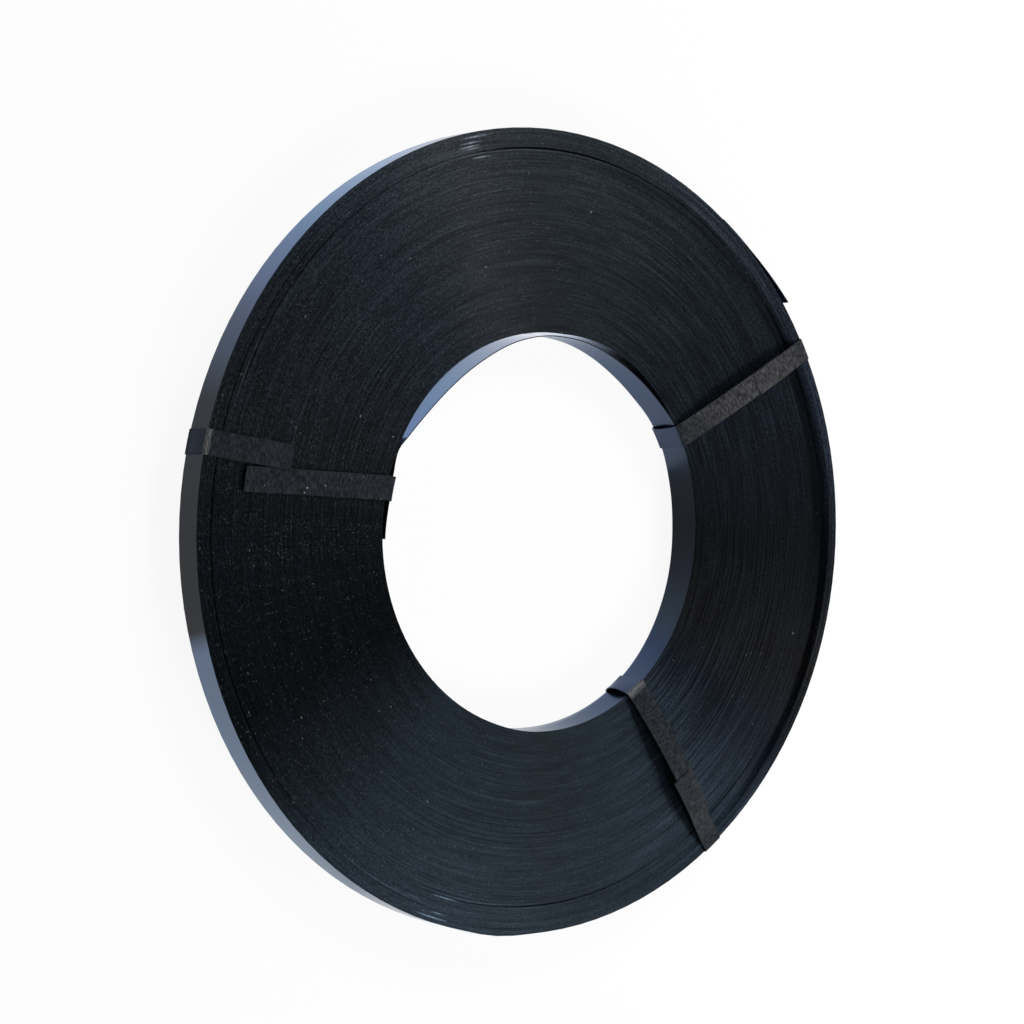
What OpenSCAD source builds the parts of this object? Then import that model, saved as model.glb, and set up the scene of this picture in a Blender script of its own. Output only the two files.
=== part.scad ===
// Ribbon-wound coil of blued steel strapping, lying on one end, bound by three lapped plastic straps.
// The axis of the coil is +Z, and the origin is on that axis, in the plane the coil rests on.
// Angles are measured from +X towards +Y. Seen from above, the strip runs outwards clockwise.

/* [Strip] */
// Width of the steel strip
strip_w = 16; // [10:0.5:32]
// Thickness of the steel strip
strip_t = 0.5; // [0.3:0.1:1.2]

/* [Coil] */
// Diameter of the bore
bore_d = 200; // [120:1:420]
// Number of turns
turns = 204; // [80:1:300]
// How far the turns stray to either side of the middle plane
edge_wander = 0.5; // [0.1:0.1:1.5]
// Turns that stray together and make one ridge on the ends
ridge_turns = 4; // [2:1:12]
// Width of the groove between two ridges
groove_w = 0.5; // [0.2:0.1:0.8]
// Depth of the groove between two ridges
groove_depth = 0.5; // [0.2:0.1:2]
// Turns outside the groove that sets off the outer band
band_turns = 20; // [8:1:60]
// Width of the groove that sets off the outer band
band_groove_w = 1; // [0.4:0.1:1.4]
// Depth of the groove that sets off the outer band
band_groove_depth = 2; // [0.5:0.5:3]

/* [Strip ends] */
// Direction of the tip of the outer end
tail_angle = 36; // [32:1:60]
// Length of the outer end that has come away from the coil
tail_len = 58; // [20:1:120]
// Radius that the freed outer end has sprung open to, over that of the coil
tail_open = 1.9; // [1.2:0.1:4]
// Direction of the tip of the inner end
inner_end_angle = 181; // [175:1:280]

/* [Straps] */
// Width of a binding strap
strap_w = 12; // [8:0.5:20]
// Thickness of a binding strap
strap_t = 0.4; // [0.3:0.05:1.2]
// Gap between a binding strap and the steel
strap_gap = 0.05; // [0.02:0.01:0.1]
// Depth that the two ends of a strap are melted into each other in the lap
weld = 0.05; // [0.02:0.01:0.1]
// Length of the lap
lap_len = 23; // [10:1:35]
// Direction of the left strap
left_angle = 167; // [120:1:172]
// Distance from the rim to the far end of the lap of the left strap
left_lap = 46; // [38:1:60]
// Sideways slip of the upper end of the left strap
left_slip = -2.5; // [-6:0.5:6]
// Sideways overlap that the two ends of the left strap still have
left_hold = 0.6; // [0.2:0.1:8]
// Direction of the upper right strap
upper_right_angle = 28.5; // [5:0.5:30]
// Distance from the rim to the far end of the lap of the upper right strap
upper_right_lap = 41; // [38:1:60]
// Direction of the lower right strap
lower_right_angle = -57; // [-80:1:-20]
// Distance from the rim to the far end of the lap of the lower right strap
lower_right_lap = 46; // [38:1:60]

/* [Hidden] */
$fn = 96;

bore_r = bore_d / 2;
outer_r = bore_r + turns * strip_t;

// Heights: the lower run of each strap lies on the floor, and the coil lies on the three lower runs.
coil_bottom = strap_t + strap_gap;
coil_w = strip_w + 2 * edge_wander;
coil_top = coil_bottom + coil_w;
coil_mid = (coil_bottom + coil_top) / 2;
top_run = coil_top + strap_gap;
lap_run = top_run + strap_t - weld;
strap_top = lap_run + strap_t;

// Ridges run from the bore out. The golden angle spreads their stray without a repeat.
ridges = ceil(turns / ridge_turns);
wander_angle = 137.5;
function ridge_r(i) = bore_r + i * ridge_turns * strip_t;
function upper_z(i) = coil_mid + strip_w / 2 + edge_wander * sin(wander_angle * i);
function lower_z(i) = upper_z(i) - strip_w;

// Groove i lies between ridge i - 1 and ridge i.
band_groove = round((turns - band_turns) / ridge_turns);
function half_w(i) = (i == band_groove ? band_groove_w : groove_w) / 2;
function depth(i) = i == band_groove ? band_groove_depth : groove_depth;

// The freed outer end follows a wider circle, which leaves the outermost turn inside the rim.
tail_root_r = outer_r - 1.5 * strip_t;
tail_r = tail_root_r * tail_open;
tail_span = tail_len / outer_r * 180 / PI;
tail_root_angle = tail_angle + tail_span;

// Inside and outside of the ring that the straps lie in
strap_in_r = bore_r - strap_gap - strap_t;
strap_out_r = outer_r + strap_gap + strap_t;

// Extra reach that keeps a cutting face off the face that it cuts
over = 1;

blued_steel = [0.16, 0.19, 0.24];
black_plastic = [0.10, 0.10, 0.11];

// Ridges of strip of one width, each with its own stray, turned about the axis
module wound_turns() {
    upper_side = [for (i = [1 : ridges - 1]) each [
        [ridge_r(i) - half_w(i), upper_z(i - 1)],
        [ridge_r(i), min(upper_z(i - 1), upper_z(i)) - depth(i)],
        [ridge_r(i) + half_w(i), upper_z(i)]
    ]];
    lower_side = [for (i = [ridges - 1 : -1 : 1]) each [
        [ridge_r(i) + half_w(i), lower_z(i)],
        [ridge_r(i), max(lower_z(i - 1), lower_z(i)) + depth(i)],
        [ridge_r(i) - half_w(i), lower_z(i - 1)]
    ]];
    rotate_extrude() polygon(concat(
        [[bore_r, lower_z(0)], [bore_r, upper_z(0)]],
        upper_side,
        [[outer_r, upper_z(ridges - 1)], [outer_r, lower_z(ridges - 1)]],
        lower_side
    ));
}

// Wedge between two directions, reaching past the coil
module sector(from_angle, to_angle, height) {
    reach = 2 * outer_r;
    mid_angle = (from_angle + to_angle) / 2;
    linear_extrude(height) polygon([
        [0, 0],
        reach * [cos(from_angle), sin(from_angle)],
        reach * [cos(mid_angle), sin(mid_angle)],
        reach * [cos(to_angle), sin(to_angle)]
    ]);
}

// Outer end of the strip, sprung away from the coil
module outer_tail() {
    centre = (tail_root_r - tail_r) * [cos(tail_root_angle), sin(tail_root_angle)];
    translate([0, 0, coil_mid - strip_w / 2]) intersection() {
        translate(centre) difference() {
            cylinder(h = strip_w, r = tail_r + strip_t);
            translate([0, 0, -over]) cylinder(h = strip_w + 2 * over, r = tail_r);
        }
        sector(tail_angle, tail_root_angle, strip_w);
    }
}

// The bore steps out by one thickness where the inner end of the strip stops, and closes up again.
module inner_end_step() {
    fade_angle = 90;
    shift = strip_t * [cos(inner_end_angle), sin(inner_end_angle)];
    translate([0, 0, coil_bottom - over]) intersection() {
        translate(shift) cylinder(h = coil_w + 2 * over, r = bore_r);
        sector(inner_end_angle, inner_end_angle + fade_angle, coil_w + 2 * over);
    }
}

module coil() {
    color(blued_steel) difference() {
        union() {
            wound_turns();
            outer_tail();
        }
        inner_end_step();
    }
}

// Rectangle of the section plane between two radii and two heights
module section(from_r, to_r, from_z, to_z) {
    translate([from_r, from_z]) square([to_r - from_r, to_z - from_z]);
}

// Lower run, run up the bore, and run up the rim, which is taller by the lap
module strap_sides() {
    intersection() {
        rotate_extrude() union() {
            section(strap_in_r, strap_out_r, 0, strap_t);
            section(strap_in_r, strap_in_r + strap_t, 0, top_run + strap_t);
            section(strap_out_r - strap_t, strap_out_r, 0, strap_top);
        }
        translate([0, -strap_w / 2, 0]) cube([2 * outer_r, strap_w, strap_top]);
    }
}

// Flat run on the upper end of the coil, between two radii, with a sideways slip at each
module strap_run(z, from_r, from_slip, to_r, to_slip) {
    intersection() {
        rotate_extrude() section(strap_in_r, strap_out_r, z, z + strap_t);
        translate([0, 0, z]) linear_extrude(strap_t) polygon([
            [from_r, from_slip - strap_w / 2],
            [to_r, to_slip - strap_w / 2],
            [to_r, to_slip + strap_w / 2],
            [from_r, from_slip + strap_w / 2]
        ]);
    }
}

// Strap round the section of the coil. Its two ends meet in a lap on the upper side, and the slips
// are those of its upper and lower end where the upper end stops.
module strap(angle, lap, upper_slip, lower_slip) {
    bend_r = strap_in_r - over;
    upper_stop_r = outer_r - lap;
    lower_stop_r = upper_stop_r + lap_len;
    lower_stop_slip = lower_slip * (lower_stop_r - bend_r) / (upper_stop_r - bend_r);
    color(black_plastic) rotate(angle) union() {
        strap_sides();
        strap_run(top_run, bend_r, 0, lower_stop_r, lower_stop_slip);
        strap_run(lap_run, upper_stop_r, upper_slip, strap_out_r, 0);
    }
}

module strap_left() {
    strap(left_angle, left_lap, left_slip, left_slip + strap_w - left_hold);
}

module strap_upper_right() {
    strap(upper_right_angle, upper_right_lap, 0, 0);
}

module strap_lower_right() {
    strap(lower_right_angle, lower_right_lap, 0, 0);
}

coil();
strap_left();
strap_upper_right();
strap_lower_right();
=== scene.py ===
import math
import random

import bmesh
import bpy
from mathutils import Matrix, Vector, noise


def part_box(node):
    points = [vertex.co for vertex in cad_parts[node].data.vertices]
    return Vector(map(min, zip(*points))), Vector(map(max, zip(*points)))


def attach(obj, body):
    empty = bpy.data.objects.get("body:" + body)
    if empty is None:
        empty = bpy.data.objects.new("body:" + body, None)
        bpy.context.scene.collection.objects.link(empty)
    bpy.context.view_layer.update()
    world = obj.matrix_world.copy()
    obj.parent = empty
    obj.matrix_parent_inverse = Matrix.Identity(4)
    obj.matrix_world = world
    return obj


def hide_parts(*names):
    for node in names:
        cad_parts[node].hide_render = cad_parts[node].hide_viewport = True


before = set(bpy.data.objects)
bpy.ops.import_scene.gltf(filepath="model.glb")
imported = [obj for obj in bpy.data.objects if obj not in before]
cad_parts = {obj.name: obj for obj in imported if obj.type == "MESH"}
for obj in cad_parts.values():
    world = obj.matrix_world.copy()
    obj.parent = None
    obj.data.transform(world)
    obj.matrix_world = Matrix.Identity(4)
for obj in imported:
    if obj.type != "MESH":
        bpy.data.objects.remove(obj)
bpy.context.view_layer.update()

scene = bpy.context.scene
scene.view_settings.view_transform = "Standard"


# The coil is one long strip of blued steel, slit to width and wound tight on itself.
# The sheared edges of its turns make the two ends, and each turn strays a little from the next.
# No core and no glue hold it: the turns lie on each other, and the straps keep them there.
mm = 0.001
strip_w = 16 * mm
strip_t = 0.5 * mm
turns = 204
coil_low, coil_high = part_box("coil")
outer_r = coil_high.x
bore_r = outer_r - turns * strip_t
coil_mid = (coil_low.z + coil_high.z) / 2
strip_low = coil_mid - strip_w / 2
stray_most = (coil_high.z - coil_low.z - strip_w) / 2
stray_step = 0.013 * mm
stray_kept = 0.45
edge_round = 0.08 * mm
edge_slope = 0.03 * mm
seam_depth = 0.06 * mm
coil_steps = 120

draw = random.Random(204)
strays = []
stray = 0
for turn in range(turns):
    stray = stray_kept * stray + draw.gauss(0, stray_step)
    strays.append(max(-stray_most, min(stray_most, stray)))

upper_side = []
lower_side = []
for turn, stray in enumerate(strays):
    inner = bore_r + turn * strip_t
    edge = coil_mid + strip_w / 2 + stray
    upper_side.append((inner + edge_round, edge))
    upper_side.append((inner + strip_t - edge_round, edge - edge_slope))
    if turn + 1 < turns:
        step = strays[turn + 1] - stray
        upper_side.append((inner + strip_t, edge + max(step, 0) - seam_depth))
    lower_side.append((inner + strip_t / 2, edge - strip_w))
bore_side = [(bore_r, lower_side[0][1] + edge_round), (bore_r, upper_side[0][1] - edge_round)]
rim_side = [(outer_r, upper_side[-1][1] - edge_round), (outer_r, lower_side[-1][1] + edge_round)]
section = bore_side + upper_side + rim_side + lower_side[::-1]

coil_bm = bmesh.new()
section_verts = [coil_bm.verts.new((r, 0, z)) for r, z in section]
section_pairs = zip(section_verts, section_verts[1:] + section_verts[:1])
section_edges = [coil_bm.edges.new(pair) for pair in section_pairs]
bmesh.ops.spin(
    coil_bm, geom=section_verts + section_edges, cent=(0, 0, 0), axis=(0, 0, 1),
    angle=2 * math.pi, steps=coil_steps, use_merge=True, use_duplicate=False)
bmesh.ops.recalc_face_normals(coil_bm, faces=coil_bm.faces)

# The two ends show the sheared edges of the strip, and the bore and the rim its rolled surface.
EDGES = 0
SURFACE = 1
upright = 0.02
for face in coil_bm.faces:
    r = face.calc_center_median().xy.length
    on_bore = r < bore_r + edge_round
    on_rim = r > outer_r - strip_t - 2 * edge_round
    on_wall = abs(face.normal.z) < upright and (on_bore or on_rim)
    face.smooth = True
    face.material_index = SURFACE if on_wall else EDGES
for edge in coil_bm.edges:
    edge.smooth = len({face.material_index for face in edge.link_faces}) == 1

# Angles are in degrees, from +X on the right of the picture towards +Y at its top.
# The stray changes along each turn, so that no streak on the end runs all the way round.
wave_height = 0.03 * mm
wave_turns = 0.8 * mm
wave_along = 5
# The outermost turns have slid up on the right, each a little further than the one inside it.
band_from, band_to = 185, 194
band_lift = 1.8 * mm
# Pairs of turns have sunk over part of their length: the first turn, from and to angle, and depth
sunk_arcs = [
    (183, 8, 110, 2 * mm), (182, 75, 165, 0.5 * mm),
    (189, 98, 250, 0.3 * mm), (175, 245, 328, 0.9 * mm),
]
sunk_turns = 2
sunk_fade = 25
# The innermost turns have been pulled outwards on the right: angle, and how far in millimetres
pulled_points = [
    (-110, 0), (-92, 0.65), (-42, 0.65), (-24, 0.3), (8, 0.5), (17, 0.7), (24, 1.25), (33, 1.1),
    (45, 1.6), (57, 2), (68, 1.6), (78, 0.7), (84, 0),
]
pulled_reach = 16 * mm
# The outermost turns bulge a little at the bottom: the first of them, the angle, half the span, and how far
bulged_from = 197
bulge_angle, bulge_span = -99, 8
bulge_out = 0.9 * mm
# A point on the seam of two turns counts with the outer one.
turn_slack = 0.01


def eased_step(start, end, at):
    t = min(1, max(0, (at - start) / (end - start)))
    return t * t * (3 - 2 * t)


# Smooth curve through all the points
def eased(points, at):
    last = len(points) - 2
    i = min(last, max(0, sum(1 for x, _ in points if x <= at) - 1))
    (x0, y0), (x1, y1) = points[i], points[i + 1]
    before = points[max(0, i - 1)]
    after = points[min(last + 1, i + 2)]
    span = x1 - x0
    slope0 = (y1 - before[1]) / (x1 - before[0]) * span
    slope1 = (after[1] - y0) / (after[0] - x0) * span
    t = (at - x0) / span
    start = (1 + 2 * t) * (1 - t) ** 2 * y0 + t * (1 - t) ** 2 * slope0
    end = t ** 2 * (3 - 2 * t) * y1 + t ** 2 * (t - 1) * slope1
    return start + end


def band_rise(angle, turn=turns):
    return band_lift * max(0, math.cos(angle)) ** 2 * eased_step(band_from, band_to, turn)


for vert in coil_bm.verts:
    r = vert.co.xy.length
    angle = math.atan2(vert.co.y, vert.co.x)
    degrees = math.degrees(angle)
    turn = math.floor((r - bore_r) / strip_t + turn_slack)
    if vert.co.z > coil_mid:
        along = Vector((math.cos(angle), math.sin(angle))) * wave_along
        vert.co.z += wave_height * noise.noise(Vector((along.x, along.y, r / wave_turns)))
        for sunk_turn, start, end, depth in sunk_arcs:
            if sunk_turn <= turn < sunk_turn + sunk_turns:
                begun = eased_step(start, start + sunk_fade, degrees % 360)
                ended = eased_step(end - sunk_fade, end, degrees % 360)
                vert.co.z -= depth * begun * (1 - ended)
    vert.co.z += band_rise(angle, turn)
    if pulled_points[0][0] < degrees < pulled_points[-1][0] and r < bore_r + pulled_reach:
        pulled = eased(pulled_points, degrees) * mm * (1 - (r - bore_r) / pulled_reach) ** 2
        vert.co.xy *= (r + pulled) / r
    if turn >= bulged_from and abs(degrees - bulge_angle) < bulge_span:
        bulge = bulge_out * math.cos(math.pi / 2 * (degrees - bulge_angle) / bulge_span) ** 2
        vert.co.xy *= (r + bulge) / r


def as_piece(name, bm, *materials):
    mesh = bpy.data.meshes.new(name)
    bm.to_mesh(mesh)
    bm.free()
    for material in materials:
        mesh.materials.append(material)
    piece = bpy.data.objects.new(name, mesh)
    scene.collection.objects.link(piece)
    return piece


def add_node(tree, kind, values=None, **settings):
    node = tree.nodes.new(kind)
    for key, value in settings.items():
        setattr(node, key, value)
    for key, value in (values or {}).items():
        if isinstance(value, bpy.types.NodeSocket):
            tree.links.new(value, node.inputs[key])
        else:
            node.inputs[key].default_value = value
    return node


def math_node(tree, operation, first, second=0):
    return add_node(tree, "ShaderNodeMath", {0: first, 1: second}, operation=operation).outputs[0]


def vector_node(tree, operation, *values):
    return add_node(tree, "ShaderNodeVectorMath", dict(enumerate(values)), operation=operation).outputs


def map_node(tree, value, start, end, low=0, high=1):
    return add_node(tree, "ShaderNodeMapRange", {0: value, 1: start, 2: end, 3: low, 4: high}).outputs[0]


def mix_colour(tree, share, first, second, blend="MIX"):
    values = {0: share, 6: first, 7: second}
    return add_node(tree, "ShaderNodeMix", values, data_type="RGBA", blend_type=blend).outputs[2]


def ramp_node(tree, value, stops):
    node = add_node(tree, "ShaderNodeValToRGB", {"Fac": value})
    elements = node.color_ramp.elements
    while len(elements) < len(stops):
        elements.new(0.5)
    for element, (position, colour) in zip(elements, stops):
        element.position = position
        element.color = (*colour, 1)
    return node.outputs["Color"]


def noise_node(tree, vector, detail, scale=1):
    values = {"Vector": vector, "Scale": scale, "Detail": detail, "Roughness": 0.6}
    return add_node(tree, "ShaderNodeTexNoise", values).outputs["Fac"]


def angle_of(tree, heading):
    parts = add_node(tree, "ShaderNodeSeparateXYZ", {0: heading}).outputs
    return math_node(tree, "ARCTAN2", parts[1], parts[0])


def by_angle(tree, heading, stops):
    share = map_node(tree, angle_of(tree, heading), -math.pi, math.pi)
    return ramp_node(tree, share, [((degrees + 180) / 360, colour) for degrees, colour in stops])


def share_by_angle(tree, heading, stops):
    return by_angle(tree, heading, [(degrees, (share, share, share)) for degrees, share in stops])


def new_finish(name):
    material = bpy.data.materials.new(name)
    material.use_nodes = True
    tree = material.node_tree
    return material, tree, tree.nodes["Principled BSDF"]


# Dust: grey specks, each in a cell of its own, in a share of the cells
smallest_speck = 0.4
faintest_speck = 0.3
speck_fade = 0.5
dust = bpy.data.node_groups.new("dust", "ShaderNodeTree")
dust.interface.new_socket("Vector", in_out="INPUT", socket_type="NodeSocketVector")
dust.interface.new_socket("Share", in_out="INPUT", socket_type="NodeSocketFloat")
dust.interface.new_socket("Size", in_out="INPUT", socket_type="NodeSocketFloat")
dust.interface.new_socket("Mask", in_out="OUTPUT", socket_type="NodeSocketFloat")
given = add_node(dust, "NodeGroupInput").outputs
cells = add_node(dust, "ShaderNodeTexVoronoi", {"Vector": given["Vector"], "Scale": 1}).outputs
chance = add_node(dust, "ShaderNodeSeparateColor", {0: cells["Color"]}).outputs
speck_size = math_node(dust, "ADD", chance["Green"], smallest_speck)
speck_r = math_node(dust, "MULTIPLY", given["Size"], speck_size)
near = math_node(dust, "SUBTRACT", 1, math_node(dust, "DIVIDE", cells["Distance"], speck_r))
kept = math_node(dust, "LESS_THAN", chance["Red"], given["Share"])
strength = math_node(dust, "ADD", faintest_speck, chance["Blue"])
weight = math_node(dust, "MULTIPLY", map_node(dust, near, 0, speck_fade), strength)
mask = add_node(dust, "ShaderNodeMath", {0: kept, 1: weight}, operation="MULTIPLY", use_clamp=True)
add_node(dust, "NodeGroupOutput", {"Mask": mask.outputs[0]})


def dust_node(tree, vector, share, size):
    values = {"Vector": vector, "Share": share, "Size": size}
    return add_node(tree, "ShaderNodeGroup", values, node_tree=dust).outputs["Mask"]


# Sheared edges: black oxide with lines and dust along the turns. Its blue and its brightness change round
# the coil, partly as the oxide's own tone and partly as painted light and shade.
strip_edges, edges_tree, edges_shader = new_finish("strip_edges")
place = add_node(edges_tree, "ShaderNodeTexCoord").outputs["Object"]
flat = vector_node(edges_tree, "MULTIPLY", place, (1, 1, 0))[0]
heading = vector_node(edges_tree, "NORMALIZE", flat)[0]
from_bore = math_node(edges_tree, "SUBTRACT", vector_node(edges_tree, "LENGTH", flat)["Value"], bore_r)
turn_at = math_node(edges_tree, "DIVIDE", from_bore, strip_t)


def wound(along, across):
    raised = math_node(edges_tree, "MULTIPLY", turn_at, across)
    offset = add_node(edges_tree, "ShaderNodeCombineXYZ", {2: raised}).outputs[0]
    return vector_node(edges_tree, "MULTIPLY_ADD", heading, (along, along, 0), offset)[0]


def stray_of(texture, weight):
    return math_node(edges_tree, "MULTIPLY", math_node(edges_tree, "SUBTRACT", texture, 0.5), weight)


# Scale a colour by a gain where the share says; each use of this is painted light or shade.
def with_painted_light(colour, gain, share):
    changed = mix_colour(edges_tree, 1, colour, gain, "MULTIPLY")
    return mix_colour(edges_tree, share, colour, changed)


lines_share = share_by_angle(edges_tree, heading, [
    (-180, 0.35), (-110, 0.24), (-75, 0.22), (-50, 1), (-25, 1), (0, 0.6), (40, 0.75), (65, 0.65),
    (90, 0.24), (140, 0.5), (180, 0.35),
])
grain_share = share_by_angle(edges_tree, heading, [
    (-180, 0.8), (-145, 0.65), (-115, 0.34), (-70, 0.3), (-45, 0.5), (-20, 0.6), (60, 0.6), (85, 0.4),
    (108, 0.4), (125, 0.74), (145, 0.8), (180, 0.8),
])
patches_share = 0.25
lines = stray_of(noise_node(edges_tree, wound(along=4, across=0.6), detail=2), lines_share)
grain = stray_of(noise_node(edges_tree, wound(along=130, across=0.6), detail=1), grain_share)
patches = stray_of(noise_node(edges_tree, wound(along=4, across=0.12), detail=3), patches_share)
# The oxide is a little lighter towards the rim.
uneven = map_node(edges_tree, turn_at, 0, turns, low=0.475, high=0.525)
for part in (lines, grain, patches):
    uneven = math_node(edges_tree, "ADD", uneven, part)
grey = ramp_node(edges_tree, uneven, [
    (0.3, (0.036, 0.036, 0.036)), (0.5, (0.08, 0.08, 0.08)), (0.7, (0.176, 0.176, 0.176)),
])
# Colour by angle round the coil: partly the oxide's own blue, partly painted light and shade that follow
# where the lamps catch the edges.
tint_and_painted_light = by_angle(edges_tree, heading, [
    (-180, (0.104, 0.14, 0.195)), (-155, (0.054, 0.079, 0.105)), (-130, (0.21, 0.313, 0.435)),
    (-90, (0.19, 0.27, 0.35)), (-68, (0.215, 0.315, 0.44)), (-52, (0.19, 0.29, 0.43)),
    (-38, (0.072, 0.113, 0.195)), (-24, (0.088, 0.098, 0.112)), (-2, (0.112, 0.142, 0.188)),
    (20, (0.252, 0.35, 0.5)), (70, (0.235, 0.31, 0.375)), (92, (0.195, 0.243, 0.29)),
    (106, (0.272, 0.316, 0.37)), (128, (0.173, 0.245, 0.34)), (166, (0.205, 0.243, 0.298)),
    (176, (0.12, 0.151, 0.19)), (180, (0.104, 0.14, 0.195)),
])
oxide_and_painted_light = mix_colour(edges_tree, 1, grey, tint_and_painted_light, "MULTIPLY")

# The turns that slid up on the right get a painted highlight, and a dark strip of painted shadow lies in
# their lee.
painted_shadow_from, painted_shadow_to = 169, 175
painted_shadow_gain = (0.05, 0.05, 0.06, 1)
painted_highlight_gain = (2.6, 2.5, 2.7, 1)
slid = map_node(edges_tree, turn_at, band_from, band_to)
painted_highlight_share = share_by_angle(edges_tree, heading, [
    (-28, 0), (-10, 0.45), (2, 1), (15, 0.95), (35, 0.4), (60, 0.3), (80, 0),
])
painted_shadow = math_node(edges_tree, "SUBTRACT", map_node(edges_tree, turn_at, painted_shadow_from, painted_shadow_to), slid)
painted_shadow_share = share_by_angle(edges_tree, heading, [
    (-30, 0), (-10, 0.4), (0, 0.65), (22, 0.65), (40, 0.4), (75, 0.25), (95, 0),
])
# Painted shadow in the lee, then a painted highlight on the slid turns.
oxide_and_painted_light = with_painted_light(oxide_and_painted_light, painted_shadow_gain, math_node(edges_tree, "MULTIPLY", painted_shadow, painted_shadow_share))
oxide_and_painted_light = with_painted_light(oxide_and_painted_light, painted_highlight_gain, math_node(edges_tree, "MULTIPLY", slid, painted_highlight_share))

# Short stretches of a few turns carry a painted glint where the lamps catch their edges: turn, middle
# angle, half the span, and how much
painted_glints = [
    (198.5, 103, 3, 0.8), (193.5, 104, 2.2, 0.8), (190, 104.2, 2, 1), (187.5, 103.8, 2, 0.4),
    (178, 102.4, 2, 0.7), (198.5, -111, 3.2, 0.8), (193.5, -110, 1.8, 0.4), (186, -115.2, 1.6, 0.25),
    (177, -109.6, 2.8, 0.8),
]
painted_glint_gain = (9, 9, 9.2, 1)
glint_half, glint_out = 0.4, 1
angle_at = angle_of(edges_tree, heading)
painted_glint = 0
for turn, middle, span, bright in painted_glints:
    off_turn = math_node(edges_tree, "SUBTRACT", turn_at, turn + 0.5)
    off_turn = math_node(edges_tree, "ABSOLUTE", off_turn)
    off_angle = math_node(edges_tree, "SUBTRACT", angle_at, math.radians(middle))
    off_angle = math_node(edges_tree, "ABSOLUTE", off_angle)
    on_turn = map_node(edges_tree, off_turn, glint_half, glint_out, low=1, high=0)
    on_arc = map_node(edges_tree, off_angle, 0, math.radians(span), low=bright, high=0)
    glint_mask = math_node(edges_tree, "MULTIPLY", on_turn, on_arc)
    painted_glint = math_node(edges_tree, "ADD", painted_glint, glint_mask)
# Lay the painted glints on the edges.
oxide_and_painted_light = with_painted_light(oxide_and_painted_light, painted_glint_gain, painted_glint)

# Fine dust lies mostly on the left, with a coarse speck here and there.
dust_size = 0.3
coarse_share = 0.04
fine_grey = (0.06, 0.06, 0.059, 1)
coarse_grey = (0.2, 0.2, 0.2, 1)
dusty = share_by_angle(edges_tree, heading, [
    (-180, 0.28), (-130, 0.16), (-100, 0.03), (-30, 0.02), (70, 0.02), (105, 0.1), (130, 0.22),
    (180, 0.28),
])
coarse_dusty = math_node(edges_tree, "MULTIPLY", dusty, coarse_share)
fine_dust = dust_node(edges_tree, wound(along=140, across=0.7), dusty, dust_size)
coarse_dust = dust_node(edges_tree, wound(along=75, across=0.4), coarse_dusty, dust_size)
oxide_and_painted_light = mix_colour(edges_tree, fine_dust, oxide_and_painted_light, fine_grey)
oxide_and_painted_light = mix_colour(edges_tree, coarse_dust, oxide_and_painted_light, coarse_grey)
edges_tree.links.new(oxide_and_painted_light, edges_shader.inputs["Base Color"])
bare = math_node(edges_tree, "SUBTRACT", 1, math_node(edges_tree, "MAXIMUM", fine_dust, coarse_dust))
edges_tree.links.new(bare, edges_shader.inputs["Metallic"])
edges_shader.inputs["Roughness"].default_value = 0.47
edges_shader.inputs["Anisotropic"].default_value = 0.38
edges_shader.inputs["Anisotropic Rotation"].default_value = 0.25

# Rolled surface: a thin blue oxide that mirrors softly, with faint lines along the strip
rolled_scale = (12, 12, 1800)
blued_surface, surface_tree, surface_shader = new_finish("blued_surface")
place = add_node(surface_tree, "ShaderNodeTexCoord").outputs["Object"]
stretched = vector_node(surface_tree, "MULTIPLY", place, rolled_scale)[0]
rolled = noise_node(surface_tree, stretched, detail=3)
blue = ramp_node(surface_tree, rolled, [(0.3, (0.103, 0.139, 0.221)), (0.7, (0.109, 0.147, 0.234))])
sheen = map_node(surface_tree, rolled, 0.3, 0.7, low=0.2, high=0.25)
surface_tree.links.new(blue, surface_shader.inputs["Base Color"])
surface_tree.links.new(sheen, surface_shader.inputs["Roughness"])
surface_shader.inputs["Metallic"].default_value = 1

coil = as_piece("wound_coil", coil_bm, strip_edges, blued_surface)
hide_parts("coil")
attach(coil, "root")


# The inner end of the strip has sprung loose: the first turn stands off the bore at the top and the right.
# It is the same strip, held by the straps only, with a kink near its tip.
lap_step = 1.5
# Angle, and how far the upper edge stands off the bore there, in millimetres. Where that is less than
# nothing, the turn lies in the room that the pulled turns leave.
lap_points = [
    (-104, -0.8), (-92, -0.5), (-57, -0.6), (-44, -0.45), (-33, -0.2), (-25, 0.15), (-10, 0.4),
    (0, 0.45), (9, 0.15), (15, -0.2), (20, -0.75), (24, -1.1), (33, -0.7), (38, 0.1), (42, 0.75),
    (46, 1.1), (55, 1.6), (64, 1.7), (74, 1.2), (82, 1.5), (90, 1.9), (101, 3.5), (115, 6.2),
    (128, 7.2), (140, 6.3), (150, 3.4), (155.5, 0.8), (162, 1.9), (169, 2.8), (181, 1.6),
]
# Angle, and how much less the lower edge stands off
lean_points = [
    (-104, 0), (-92, -0.5), (-75, -0.85), (-44, -1.05), (-33, -1.3), (-20, -1.45), (0, -1.95),
    (12, -1.75), (24, -1.65), (33, -1.1), (38, -0.8), (46, -0.9), (55, -0.6), (64, 0), (74, 0.1),
    (82, 0.5), (92, 1.6), (101, 2.3), (115, 2.6), (128, 2.6), (140, 2.2), (150, 1.2), (155.5, 0.2),
    (181, 0.6),
]


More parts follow.
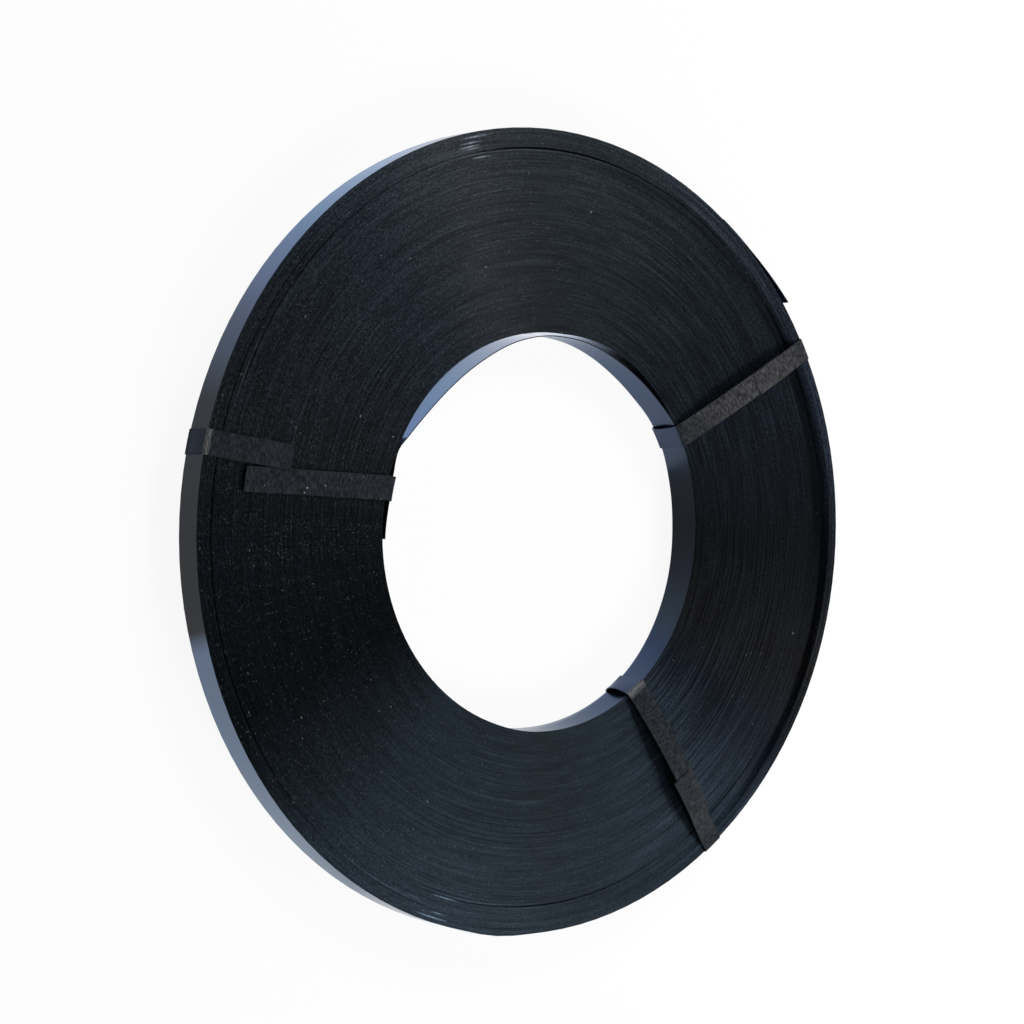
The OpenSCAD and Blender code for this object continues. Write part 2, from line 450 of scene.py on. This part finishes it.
# Strip that stands on its edge along a path of angles, radii of its two edges, and heights over its place
def strip_on_edge(path):
    flat_slope = 0.5
    sharp_angle = 0.5
    bm = bmesh.new()
    lean = bm.verts.layers.float.new("lean")
    foot = []
    for angle, low_r, high_r, rise in path:
        vert = bm.verts.new((low_r * math.cos(angle), low_r * math.sin(angle), strip_low + rise))
        vert[lean] = high_r / low_r
        foot.append(vert)
    edges = [bm.edges.new(pair) for pair in zip(foot, foot[1:])]
    raised = bmesh.ops.extrude_edge_only(bm, edges=edges)["geom"]
    raised_verts = [part for part in raised if isinstance(part, bmesh.types.BMVert)]
    bmesh.ops.translate(bm, verts=raised_verts, vec=(0, 0, strip_w))
    for vert in raised_verts:
        vert.co.xy *= vert[lean]
    bmesh.ops.solidify(bm, geom=bm.faces[:], thickness=strip_t)
    bmesh.ops.recalc_face_normals(bm, faces=bm.faces)
    for face in bm.faces:
        flat_end = abs(face.normal.z) > flat_slope
        face.material_index = EDGES if flat_end else SURFACE
        face.smooth = not flat_end
    for edge in bm.edges:
        edge.smooth = edge.calc_face_angle(0) < sharp_angle
    return bm


lap_from, lap_to = lap_points[0][0], lap_points[-1][0]
lap_count = round((lap_to - lap_from) / lap_step)
lap_path = []
for i in range(lap_count + 1):
    angle = lap_from + (lap_to - lap_from) * i / lap_count
    stand = eased(lap_points, angle)
    lean = eased(lean_points, angle)
    lap_path.append((math.radians(angle), bore_r - (stand - lean) * mm, bore_r - stand * mm, 0))
inner_lap = as_piece("loose_inner_turn", strip_on_edge(lap_path), strip_edges, blued_surface)
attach(inner_lap, "root")


# The outer end of the strip has sprung away from the rim next to the upper right strap.
# It is the same strip, cut square by shears.
tail_steps = 18
# Angle, and how far the end stands off the rim there, in millimetres
tail_points = [(36.2, 3.1), (40, 2.0), (44, 0.95), (47, 0.3), (50, 0.02), (54, -0.2)]
tail_from, tail_to = tail_points[0][0], tail_points[-1][0]
tail_path = []
for i in range(tail_steps + 1):
    angle = tail_from + (tail_to - tail_from) * i / tail_steps
    r = outer_r + eased(tail_points, angle) * mm
    tail_path.append((math.radians(angle), r, r, band_rise(math.radians(angle))))
outer_tail = as_piece("outer_tail", strip_on_edge(tail_path), strip_edges, blued_surface)
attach(outer_tail, "root")


# Three straps of black plastic bind the turns. Each goes once round the section of the coil, and its two
# ends are lapped on the upper side and melted together. The plastic has fine pressed ribs and is rubbed
# grey on top. Where it runs down the bore and the rim it is glossy, with a painted blue reflection of the
# steel.
strap_w = 12 * mm
strap_t = 0.4 * mm
strap_gap = 0.05 * mm
lap_len = 23 * mm
lap_ramp = 5 * mm
lap_play = 1.02
corner_r = 0.6 * mm
corner_steps = 6
run_steps = 24
bore_steps = 12
cross_cuts = 5
rim_run = 6 * mm
rim_gloss_and_blue_reflection = 0.3
# Heights over the middle of the coil on the rim, in millimetres, and the share there of the rim's gloss and
# its painted blue reflection
rim_points = [(7, 0.8), (4, 1), (0, 1.5), (-4, 2.2)]
under_shares = [0.8, 0.6, 0.4, 0.2]
bow_skew = 0.75
face_z = coil_high.z + strap_gap
under_z = coil_low.z - strap_gap
corner_arc = []
for i in range(corner_steps + 1):
    a = math.pi / 2 * i / corner_steps
    corner_arc.append((math.sin(a), 1 - math.cos(a)))


# The route of the middle of a strap, from its upper end to its lower one. Each point has a radius, a
# height, a sideways slip, how far one edge stands off the bore, and how glossy the strap is, which also
# sets its painted blue reflection.
def strap_route(
        angle, lap, upper_slip, lower_slip, rim_slip, bore_slip,
        bore_rise, bow, bore_off, bore_lean, bore_bow):
    upper_stop = outer_r - lap * mm
    lower_stop = upper_stop + lap_len
    rim_x = outer_r + strap_gap
    bore_x = bore_r - strap_gap - bore_off * mm
    foot_x = bore_x - bore_lean * mm
    rim_z = face_z + band_rise(math.radians(angle))
    bore_z = face_z + bore_rise * mm

    def tented(x):
        s = min(1, max(0, (x - bore_r) / (outer_r - rim_run - bore_r)))
        return bore_z + (rim_z - bore_z) * s + bow * mm * math.sin(math.pi * s)

    route = []
    for i in range(run_steps + 1):
        x = upper_stop + (rim_x - corner_r - upper_stop) * i / run_steps
        over = 1 - eased_step(lower_stop, lower_stop + lap_ramp, x)
        slip = rim_slip + (upper_slip - rim_slip) * (outer_r - x) / (outer_r - upper_stop)
        route.append((x, tented(x) + over * strap_t * lap_play, slip, 0, 0))
    for s, c in corner_arc[1:]:
        route.append((rim_x - corner_r + corner_r * s, rim_z - corner_r * c, rim_slip, 0, rim_gloss_and_blue_reflection * s))
    for up, share in rim_points:
        route.append((rim_x, coil_mid + up * mm, rim_slip, 0, rim_gloss_and_blue_reflection * share))
    for s, c in corner_arc:
        route.append((rim_x - corner_r * c, under_z + corner_r - corner_r * s, rim_slip, 0, rim_gloss_and_blue_reflection))
    for share in under_shares:
        slip = bore_slip + (rim_slip - bore_slip) * share
        route.append((bore_r + (outer_r - bore_r) * share, under_z, slip, 0, rim_gloss_and_blue_reflection))
    for s, c in corner_arc:
        route.append((foot_x + corner_r - corner_r * s, under_z + corner_r * c, bore_slip, 0, 1))
    low, high = under_z + corner_r, bore_z - corner_r
    for i in range(1, bore_steps):
        t = i / bore_steps
        stand = bore_bow * mm * math.sin(math.pi * t ** bow_skew)
        route.append((foot_x + (bore_x - foot_x) * t, low + (high - low) * t, bore_slip, stand, 1))
    for s, c in corner_arc:
        route.append((bore_x + corner_r * c, bore_z - corner_r + corner_r * s, bore_slip, 0, 1 - s))
    start_x = bore_x + corner_r
    for i in range(1, run_steps + 1):
        x = start_x + (lower_stop - start_x) * i / run_steps
        slip = bore_slip + (lower_slip - bore_slip) * (x - bore_r) / (lower_stop - bore_r)
        route.append((x, tented(x), slip, 0, 0))
    return route


# A band along a route, turned to its angle. It keeps where each point lies along and across it, and how
# glossy (and so how much painted blue reflection it takes), worn and creased it is there. The wear runs
# smoothly through its three values.
def strap_band(route, angle, twist, wear, creased_r):
    sharp_angle = 0.6
    bm = bmesh.new()
    layers = {}
    for key in ("along", "across", "stand", "gloss_and_blue_reflection", "worn", "crease"):
        layers[key] = bm.verts.layers.float.new(key)
    near_side = []
    length = 0
    for i, (x, z, slip, stand, gloss_and_blue_reflection) in enumerate(route):
        if i:
            length += math.hypot(x - route[i - 1][0], z - route[i - 1][1])
        s = min(1, max(0, (x - bore_r) / (outer_r - bore_r)))
        worn = wear[0] * (1 - s) * (1 - 2 * s) + wear[1] * 4 * s * (1 - s) + wear[2] * s * (2 * s - 1)
        worn *= 1 - gloss_and_blue_reflection
        at_corner = abs(x - creased_r) < corner_r and z > coil_high.z - corner_r
        vert = bm.verts.new((x, slip * mm - strap_w / 2, z))
        values = {
            "along": length, "across": -strap_w / 2, "stand": stand,
            "gloss_and_blue_reflection": gloss_and_blue_reflection, "worn": worn, "crease": at_corner,
        }
        for key, value in values.items():
            vert[layers[key]] = value
        near_side.append(vert)
    edges = [bm.edges.new(pair) for pair in zip(near_side, near_side[1:])]
    widened = bmesh.ops.extrude_edge_only(bm, edges=edges)["geom"]
    far_side = [part for part in widened if isinstance(part, bmesh.types.BMVert)]
    bmesh.ops.translate(bm, verts=far_side, vec=(0, strap_w, 0))
    across = layers["across"]
    for vert in far_side:
        vert[across] = strap_w / 2
    cross = []
    for edge in bm.edges:
        one, other = edge.verts
        if abs(one[across] - other[across]) > strap_w / 2:
            cross.append(edge)
    bmesh.ops.subdivide_edges(bm, edges=cross, cuts=cross_cuts)
    for vert in bm.verts:
        r = vert.co.x - vert[layers["stand"]] * (0.5 + twist * vert[across] / strap_w)
        turned = math.radians(angle) + vert.co.y / vert.co.x
        vert.co.xy = r * math.cos(turned), r * math.sin(turned)
    bmesh.ops.recalc_face_normals(bm, faces=bm.faces)
    top = max(bm.faces, key=lambda face: face.calc_center_median().z)
    if top.normal.z < 0:
        bmesh.ops.reverse_faces(bm, faces=bm.faces)
    bmesh.ops.solidify(bm, geom=bm.faces[:], thickness=-strap_t)
    bmesh.ops.recalc_face_normals(bm, faces=bm.faces)
    for face in bm.faces:
        face.smooth = True
    for edge in bm.edges:
        edge.smooth = edge.calc_face_angle(0) < sharp_angle
    return bm


rib_scale = (1300, 330, 1)
rib_depth = 0.1 * mm
blotch_scale = 180
blotch_share = 0.2
speck_scale = (600, 600, 600)
strap_dust_size = 0.24
painted_blue_reflection = (0.09, 0.12, 0.2, 1)
bore_metal_share = 0.5
crease_grey = (0.16, 0.16, 0.17, 1)
speck_grey = (0.36, 0.36, 0.36, 1)
strap_plastic, plastic_tree, plastic_shader = new_finish("strap_plastic")


def strap_value(key):
    return add_node(plastic_tree, "ShaderNodeAttribute", attribute_name=key).outputs["Fac"]


place = add_node(plastic_tree, "ShaderNodeTexCoord").outputs["Object"]
laid = {0: strap_value("along"), 1: strap_value("across")}
pressed = add_node(plastic_tree, "ShaderNodeCombineXYZ", laid).outputs[0]
ribs = noise_node(plastic_tree, vector_node(plastic_tree, "MULTIPLY", pressed, rib_scale)[0], detail=2)
blotches = noise_node(plastic_tree, place, detail=3, scale=blotch_scale)
shade = mix_colour(plastic_tree, blotch_share, ribs, blotches)
gloss_and_blue_reflection = strap_value("gloss_and_blue_reflection")
black = ramp_node(plastic_tree, shade, [
    (0.4, (0.011, 0.013, 0.016)), (0.5, (0.018, 0.0211, 0.026)), (0.6, (0.031, 0.0355, 0.043)),
])
# Where the strap is glossy, a painted blue reflection of the steel is mixed into its colour.
black = mix_colour(plastic_tree, gloss_and_blue_reflection, black, painted_blue_reflection)
rubbed_grey = ramp_node(plastic_tree, shade, [
    (0.4, (0.02, 0.02, 0.022)), (0.5, (0.0415, 0.0415, 0.0455)), (0.6, (0.078, 0.078, 0.084)),
])
worn = strap_value("worn")
plastic = mix_colour(plastic_tree, worn, black, rubbed_grey)
on_ribs = map_node(plastic_tree, ribs, 0.3, 0.52)
creased = math_node(plastic_tree, "MULTIPLY", strap_value("crease"), on_ribs)
plastic = mix_colour(plastic_tree, creased, plastic, crease_grey)
# Specks lie where the plastic is least worn.
speck_share = map_node(plastic_tree, worn, 0.03, 0.04, low=0.03, high=0.002)
speck_place = vector_node(plastic_tree, "MULTIPLY", place, speck_scale)[0]
specks = dust_node(plastic_tree, speck_place, speck_share, strap_dust_size)
plastic = mix_colour(plastic_tree, specks, plastic, speck_grey)
metal = math_node(plastic_tree, "MULTIPLY", gloss_and_blue_reflection, bore_metal_share)
roughness = map_node(plastic_tree, gloss_and_blue_reflection, 0, 1, low=0.38, high=0.12)
rib_height = map_node(plastic_tree, gloss_and_blue_reflection, 0, 1, low=0.2, high=0.03)
pressing = {"Height": ribs, "Strength": rib_height, "Distance": rib_depth}
bump = add_node(plastic_tree, "ShaderNodeBump", pressing).outputs[0]
plastic_tree.links.new(plastic, plastic_shader.inputs["Base Color"])
plastic_tree.links.new(metal, plastic_shader.inputs["Metallic"])
plastic_tree.links.new(roughness, plastic_shader.inputs["Roughness"])
plastic_tree.links.new(bump, plastic_shader.inputs["Normal"])
plastic_shader.inputs["Specular IOR Level"].default_value = 0.03

# Each strap has its route, in degrees and millimetres, and its state: which edge stands off the bore, the
# wear at the bore, half way and at the rim, and the radius of the corner that has creased, or nothing.
straps = {
    "strap_left": (
        dict(
            angle=167, lap=46, upper_slip=-2.4, lower_slip=12.7, rim_slip=0.7, bore_slip=-0.5,
            bore_rise=0, bow=0.3, bore_off=3.2, bore_lean=-0.3, bore_bow=0.3),
        dict(twist=0, wear=(0.03, 0.03, 0.03), creased_r=outer_r)),
    "strap_upper_right": (
        dict(
            angle=28.5, lap=42.5, upper_slip=0, lower_slip=0.4, rim_slip=0, bore_slip=0.4,
            bore_rise=0.2, bow=2.0, bore_off=-0.3, bore_lean=1.25, bore_bow=1.2),
        dict(twist=1, wear=(0.1, 1, 0.55), creased_r=0)),
    "strap_lower_right": (
        dict(
            angle=-57, lap=46, upper_slip=1.2, lower_slip=3.6, rim_slip=2.0, bore_slip=3.9,
            bore_rise=0.4, bow=3.6, bore_off=0, bore_lean=0.95, bore_bow=2.3),
        dict(twist=-1, wear=(0.04, 0.04, 0.04), creased_r=bore_r)),
}
for name, (sizes, state) in straps.items():
    band_bm = strap_band(strap_route(**sizes), sizes["angle"], **state)
    band = as_piece(name + "_band", band_bm, strap_plastic)
    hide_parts(name)
    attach(band, "root")


# The floor is a plain white disc under the coil. It shows white to the camera and in the steel,
# and its matte share keeps the soft shadow.
floor_r = 30
floor_segments = 64
floor_white = (0.95, 0.95, 0.95, 1)
white_share = 0.92
floor_bm = bmesh.new()
bmesh.ops.create_circle(floor_bm, cap_ends=True, radius=floor_r, segments=floor_segments)
floor_finish = bpy.data.materials.new("floor")
floor_finish.use_nodes = True
floor_tree = floor_finish.node_tree
floor_tree.nodes.remove(floor_tree.nodes["Principled BSDF"])
ray = add_node(floor_tree, "ShaderNodeLightPath").outputs
seen = math_node(floor_tree, "ADD", ray["Is Camera Ray"], ray["Is Glossy Ray"])
seen = math_node(floor_tree, "ADD", seen, ray["Is Transmission Ray"])
matte = add_node(floor_tree, "ShaderNodeBsdfDiffuse", {"Color": floor_white}).outputs[0]
glow = add_node(floor_tree, "ShaderNodeEmission", {"Color": (1, 1, 1, 1), "Strength": 1}).outputs[0]
glow_share = math_node(floor_tree, "MULTIPLY", seen, white_share)
mix = add_node(floor_tree, "ShaderNodeMixShader", {0: glow_share, 1: matte, 2: glow}).outputs[0]
floor_tree.links.new(mix, floor_tree.nodes["Material Output"].inputs["Surface"])
floor = as_piece("floor", floor_bm, floor_finish)


# Two rings of card lie on the floor, round the rim and in the bore, and a third stands in the gap behind
# the loose turn. Their glow, set by angle, is a painted reflection: only the steel and the straps mirror
# them.
card_z = 0.2 * mm
full_turn = 360
rim_card_in = outer_r + 0.1 * mm
rim_card_out = outer_r + 60 * mm
bore_card_in = 30 * mm
bore_card_out = bore_r - 1.5 * mm
gap_card_r = bore_r - 0.15 * mm
gap_card_top = coil_high.z - 1 * mm


def reflection_card(name, ends, stops, turned=full_turn, strength=1):
    bm = bmesh.new()
    verts = [bm.verts.new((r, 0, z)) for r, z in ends]
    edge = bm.edges.new(verts)
    start = math.radians(stops[0][0])
    bmesh.ops.rotate(bm, verts=verts, cent=(0, 0, 0), matrix=Matrix.Rotation(start, 3, "Z"))
    bmesh.ops.spin(
        bm, geom=verts + [edge], cent=(0, 0, 0), axis=(0, 0, 1), angle=math.radians(turned),
        steps=coil_steps, use_merge=turned == full_turn, use_duplicate=False)
    finish = bpy.data.materials.new(name)
    finish.use_nodes = True
    tree = finish.node_tree
    tree.nodes.remove(tree.nodes["Principled BSDF"])
    place = add_node(tree, "ShaderNodeTexCoord").outputs["Object"]
    colour = by_angle(tree, place, stops)
    glow = add_node(tree, "ShaderNodeEmission", {"Color": colour, "Strength": strength}).outputs[0]
    tree.links.new(glow, tree.nodes["Material Output"].inputs["Surface"])
    card = as_piece(name, bm, finish)
    for kind in ("camera", "diffuse", "transmission", "volume_scatter", "shadow"):
        setattr(card, "visible_" + kind, False)


reflection_card("rim_card", [(rim_card_in, card_z), (rim_card_out, card_z)], [
    (-180, (0.28, 0.23, 0.17)), (-166.4, (0.28, 0.23, 0.17)), (-165.6, (0.82, 0.86, 0.86)),
    (-135, (0.82, 0.9, 0.92)), (-122, (0.6, 0.66, 0.7)), (-114, (1, 1, 1)), (20, (1, 1, 1)),
    (28, (0.08, 0.08, 0.08)), (58, (0.08, 0.08, 0.08)), (68, (1, 1, 1)), (104, (1, 1, 1.06)),
    (114, (0.86, 0.99, 1.2)), (130, (0.64, 0.86, 1.08)), (142, (0.63, 0.7, 0.84)),
    (149, (0.5, 0.52, 0.54)), (155, (0.42, 0.43, 0.42)), (161, (0.28, 0.25, 0.2)),
    (180, (0.28, 0.23, 0.17)),
])
reflection_card("bore_card", [(bore_card_in, card_z), (bore_card_out, card_z)], [
    (-180, (0.9, 0.95, 1)), (-100, (0.6, 0.65, 0.7)), (-57, (0.44, 0.5, 0.58)),
    (-46, (0.41, 0.47, 0.53)), (-36, (0.29, 0.33, 0.4)), (-24, (0.24, 0.26, 0.22)),
    (-12, (0.17, 0.13, 0.12)), (0, (0.12, 0.1, 0.075)), (12, (0.15, 0.12, 0.1)),
    (17, (0.15, 0.15, 0.14)), (20, (0.46, 0.44, 0.41)), (27, (0.5, 0.5, 0.5)),
    (48, (0.48, 0.53, 0.58)), (60, (0.44, 0.5, 0.56)), (90, (0.7, 0.78, 0.88)),
    (120, (0.9, 0.95, 1)), (180, (0.9, 0.95, 1)),
])
reflection_card("gap_card", [(gap_card_r, coil_low.z), (gap_card_r, gap_card_top)], [
    (42, (0, 0, 0)), (60, (0, 0, 0)), (70, (0.2, 0.23, 0.3)), (80, (0.8, 0.9, 1)), (90, (1, 1, 1)),
    (105, (1, 1, 1)), (128, (0.8, 0.95, 1)), (150, (0.7, 0.8, 1)),
], turned=108, strength=1.5)


# The studio has a surround that is white at the horizon and dark overhead, and three soft boxes
# on the right, which light the end of the coil from above.
world = bpy.data.worlds.new("studio")
world.use_nodes = True
scene.world = world
world_tree = world.node_tree
around = add_node(world_tree, "ShaderNodeTexCoord").outputs["Generated"]
height = add_node(world_tree, "ShaderNodeSeparateXYZ", {0: around}).outputs[2]
surround = ramp_node(world_tree, height, [
    (0.12, (1, 1, 1)), (0.32, (0.08, 0.08, 0.08)), (1, (0.05, 0.05, 0.05)),
])
world_tree.links.new(surround, world_tree.nodes["Background"].inputs["Color"])

box_far = 1.5
box_size = 0.45
soft_boxes = {
    "upper_box": (Vector((0.44, 0.7, 0.56)), 15),
    "lower_box": (Vector((0.38, -0.74, 0.55)), 15),
    "right_box": (Vector((0.85, -0.3, 0.43)), 5),
}
for name, (toward, power) in soft_boxes.items():
    lamp = bpy.data.lights.new(name, "AREA")
    lamp.size = box_size
    lamp.energy = power
    soft_box = bpy.data.objects.new(name, lamp)
    soft_box.location = toward * box_far
    soft_box.rotation_euler = toward.to_track_quat("Z", "Y").to_euler()
    scene.collection.objects.link(soft_box)


# The camera looks down on the end of the coil from a little to one side, so that the coil
# that lies on the floor shows as if it stood on its edge.
image_px = 1024
focal_px = 2450
camera_data = bpy.data.cameras.new("camera")
camera_data.sensor_width = 36
camera_data.lens = focal_px * camera_data.sensor_width / image_px
camera = bpy.data.objects.new("camera", camera_data)
scene.collection.objects.link(camera)
scene.camera = camera
coil_centre = Vector((0, 0, coil_mid))
turn_aside = math.radians(37.46)
turn_down = math.radians(1.34)
coil_in_view = Vector((0.01267, -0.00976, -1.2379))
turned = Matrix.Rotation(turn_down, 4, "X") @ Matrix.Rotation(turn_aside, 4, "Y")
camera.matrix_world = (
    Matrix.Translation(coil_centre) @ turned.inverted() @ Matrix.Translation(-coil_in_view))
